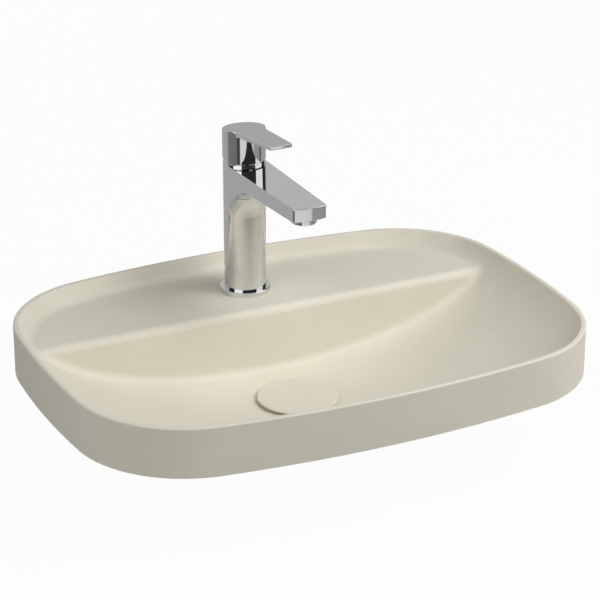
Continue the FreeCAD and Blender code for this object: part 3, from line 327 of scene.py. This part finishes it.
ground_ceramic, tree, shader = new_finish("ground_ceramic")
haze = noise(tree, DISC_HAZE, GRAIN_DETAIL)
shade(tree, haze, shader.inputs["Base Color"], DISC_DARK, DISC_LIGHT)
vary(tree, haze, shader.inputs["Roughness"], *DISC_ROUGHNESS)

dress(ground_ceramic, "fixed_disc", "moving_disc")
dress(white_acetal, "cartridge_port_plate", "cartridge_housing", "cartridge_rotor", "disc_driver")
dress(black_rubber, "hot_port_seal", "cold_port_seal")
dress(zinc_steel, "pivot_pin")
dress(turned_brass, "cartridge_nut", "spindle")
dress(polished_chrome, "bonnet_ring")

# Handle: a zinc casting, polished and chromed, with a flat lever on a round skirt.
# A steel set screw behind a small chromed plug fixes it to the spindle.
dress(polished_chrome, "lever_handle", "handle_screw_plug")
dress(zinc_steel, "handle_set_screw")

# Studio: a pale sweep, a tall softbox at each side, four lamps at the right and a weak one behind.
# The background is white. Polished metal shows it with what stands round the set: the softboxes,
# dark screens in front and at the sides, a grey wall behind and a pale ceiling.
FLOOR_HALF = 8
FLOOR_COLOUR = (0.40, 0.40, 0.40, 1)
FLOOR_ROUGHNESS = 0.9
SHADOW_SHARE = 0.03
ROOM_LIGHT = 0.05
SCREEN_FOOT = (0.20, 0.29)
CEILING_EDGE = (0.50, 0.62)
CEILING_TONE = 0.45
SCREENS_ABOVE = ((-180, 0.56), (-128, 0.55), (-122, 0.03), (122, 0.03), (128, 0.55), (180, 0.56))
SCREENS_BELOW = (
    (-180, 0.45), (-140, 0.44), (-122, 0.42), (-112, 0.20), (-64, 0.18), (-58, 0.06),
    (-47, 0.06), (-43, 0.80), (25, 0.74), (29, 0.35), (64, 0.33), (67, 0.06),
    (73, 0.06), (77, 0.38), (120, 0.42), (145, 0.45), (180, 0.45),
)
LAMP_DISTANCE = 2.0

# The sweep is hidden from mirrored rays, so that metal shows the foot of the screens there.
floor_level = cad_box[0][2]
floor_corners = [(x, y, floor_level) for x, y in (
    (-FLOOR_HALF, -FLOOR_HALF), (FLOOR_HALF, -FLOOR_HALF), (FLOOR_HALF, FLOOR_HALF), (-FLOOR_HALF, FLOOR_HALF),
)]
floor_mesh = bpy.data.meshes.new("floor")
floor_mesh.from_pydata(floor_corners, [], [(0, 1, 2, 3)])
floor = bpy.data.objects.new("floor", floor_mesh)
floor.visible_glossy = False
bpy.context.scene.collection.objects.link(floor)


def calculate(tree, operation, first, second):
    """One step of arithmetic in a node tree."""
    step = tree.nodes.new("ShaderNodeMath")
    step.operation = operation
    for socket, source in zip(step.inputs, (first, second)):
        if isinstance(source, (int, float)):
            socket.default_value = source
        else:
            tree.links.new(source, socket)
    return step.outputs["Value"]


def show_white(tree):
    """One for the rays that see the background: straight, mirrored or through glass."""
    path = tree.nodes.new("ShaderNodeLightPath").outputs
    through = calculate(tree, "MAXIMUM", path["Is Glossy Ray"], path["Is Transmission Ray"])
    return calculate(tree, "MAXIMUM", path["Is Camera Ray"], through)


pale_sweep, tree, shader = new_finish("pale_sweep")
shader.inputs["Roughness"].default_value = FLOOR_ROUGHNESS
shader.inputs["Base Color"].default_value = FLOOR_COLOUR
white = tree.nodes.new("ShaderNodeEmission")
mix = tree.nodes.new("ShaderNodeMixShader")
tree.links.new(calculate(tree, "MULTIPLY", show_white(tree), 1 - SHADOW_SHARE), mix.inputs["Fac"])
tree.links.new(shader.outputs["BSDF"], mix.inputs[1])
tree.links.new(white.outputs["Emission"], mix.inputs[2])
tree.links.new(mix.outputs["Shader"], tree.nodes["Material Output"].inputs["Surface"])
floor.data.materials.append(pale_sweep)

room = bpy.data.worlds.new("room")
room.use_nodes = True
bpy.context.scene.world = room
tree = room.node_tree
room_light = tree.nodes["Background"]
room_light.inputs["Color"].default_value = (1, 1, 1, 1)
room_light.inputs["Strength"].default_value = ROOM_LIGHT
seen = tree.nodes.new("ShaderNodeTexCoord")
toward = tree.nodes.new("ShaderNodeSeparateXYZ")
tree.links.new(seen.outputs["Generated"], toward.inputs["Vector"])
front = calculate(tree, "MULTIPLY", toward.outputs["Y"], -1)
bearing = calculate(tree, "ARCTAN2", toward.outputs["X"], front)
turn = calculate(tree, "ADD", calculate(tree, "DIVIDE", bearing, math.tau), 0.5)


def screens(stops):
    """How much of the white shows between the screens, along a full turn from the back."""
    ramp = tree.nodes.new("ShaderNodeValToRGB")
    marks = ramp.color_ramp.elements
    for number, (degrees, tone) in enumerate(stops):
        place = degrees / 360 + 0.5
        mark = marks[number] if number < 2 else marks.new(place)
        mark.position = place
        mark.color = (tone, tone, tone, 1)
    tree.links.new(turn, ramp.inputs["Fac"])
    return ramp.outputs["Color"]


def above(levels):
    """Nought under a height in the room and one over it, with a soft edge."""
    rise = tree.nodes.new("ShaderNodeMapRange")
    rise.inputs["From Min"].default_value = levels[0]
    rise.inputs["From Max"].default_value = levels[1]
    tree.links.new(toward.outputs["Z"], rise.inputs["Value"])
    return rise.outputs["Result"]


def blend_tones(share, first, second):
    """A mix of two tones of the room, each a plain grey or made by other nodes."""
    tones = tree.nodes.new("ShaderNodeMix")
    tones.data_type = "RGBA"
    tree.links.new(share, tones.inputs["Factor"])
    for name, tone in (("A", first), ("B", second)):
        if isinstance(tone, (int, float)):
            tones.inputs[name].default_value = (tone, tone, tone, 1)
        else:
            tree.links.new(tone, tones.inputs[name])
    return tones.outputs["Result"]


standing = blend_tones(above(SCREEN_FOOT), screens(SCREENS_BELOW), screens(SCREENS_ABOVE))
round_the_set = blend_tones(above(CEILING_EDGE), standing, CEILING_TONE)
mirrored = tree.nodes.new("ShaderNodeLightPath").outputs["Is Glossy Ray"]
backdrop = tree.nodes.new("ShaderNodeBackground")
tree.links.new(blend_tones(mirrored, 1.0, round_the_set), backdrop.inputs["Color"])
behind = tree.nodes.new("ShaderNodeMixShader")
tree.links.new(show_white(tree), behind.inputs["Fac"])
tree.links.new(room_light.outputs["Background"], behind.inputs[1])
tree.links.new(backdrop.outputs["Background"], behind.inputs[2])
tree.links.new(behind.outputs["Shader"], tree.nodes["World Output"].inputs["Surface"])


def softbox(name, azimuth, elevation, radiance, width, height, shows):
    """A lamp that faces the bowl from a direction in degrees, nought being the front."""
    turn_by, rise_by = math.radians(azimuth), math.radians(elevation)
    flat = math.cos(rise_by) * LAMP_DISTANCE
    lamp = bpy.data.lights.new(name, "AREA")
    lamp.shape = "RECTANGLE"
    lamp.size = width
    lamp.size_y = height
    lamp.energy = radiance * math.pi * width * height
    holder = bpy.data.objects.new(name, lamp)
    holder.location = (
        math.sin(turn_by) * flat, -math.cos(turn_by) * flat, math.sin(rise_by) * LAMP_DISTANCE)
    holder.rotation_euler = (-holder.location).to_track_quat("-Z", "Y").to_euler()
    holder.visible_camera = False
    holder.visible_glossy = shows
    bpy.context.scene.collection.objects.link(holder)


softbox("softbox_left", -66, 31, 1.44, 1.6, 2.2, True)
softbox("softbox_right", 66, 31, 1.14, 1.6, 2.2, True)
softbox("lamp_front", 25, 50, 1.80, 1.2, 1.2, False)
softbox("lamp_key", 45, 50, 4.20, 0.7, 0.7, False)
softbox("lamp_low", 62, 30, 2.95, 0.7, 0.7, False)
softbox("lamp_right", 75, 55, 1.08, 1.2, 1.2, False)
softbox("lamp_back", 180, 14, 0.9, 1.2, 1.2, False)

# Camera: a long lens from the front left, above the rim and turned down to the bowl.
# Its angles are in degrees and its place in metres.
LENS = 138.88
SENSOR = 36
CAMERA_PLACE = (-0.92858, -1.92818, 0.98681)
CAMERA_TURN = -25.7247
CAMERA_DOWN = 23.1612

camera_data = bpy.data.cameras.new("camera")
camera_data.lens = LENS
camera_data.sensor_width = SENSOR
camera = bpy.data.objects.new("camera", camera_data)
camera.location = CAMERA_PLACE
camera.rotation_euler = (math.radians(90 - CAMERA_DOWN), 0, math.radians(CAMERA_TURN))
bpy.context.scene.collection.objects.link(camera)
bpy.context.scene.camera = camera
bpy.context.scene.view_settings.view_transform = "Standard"
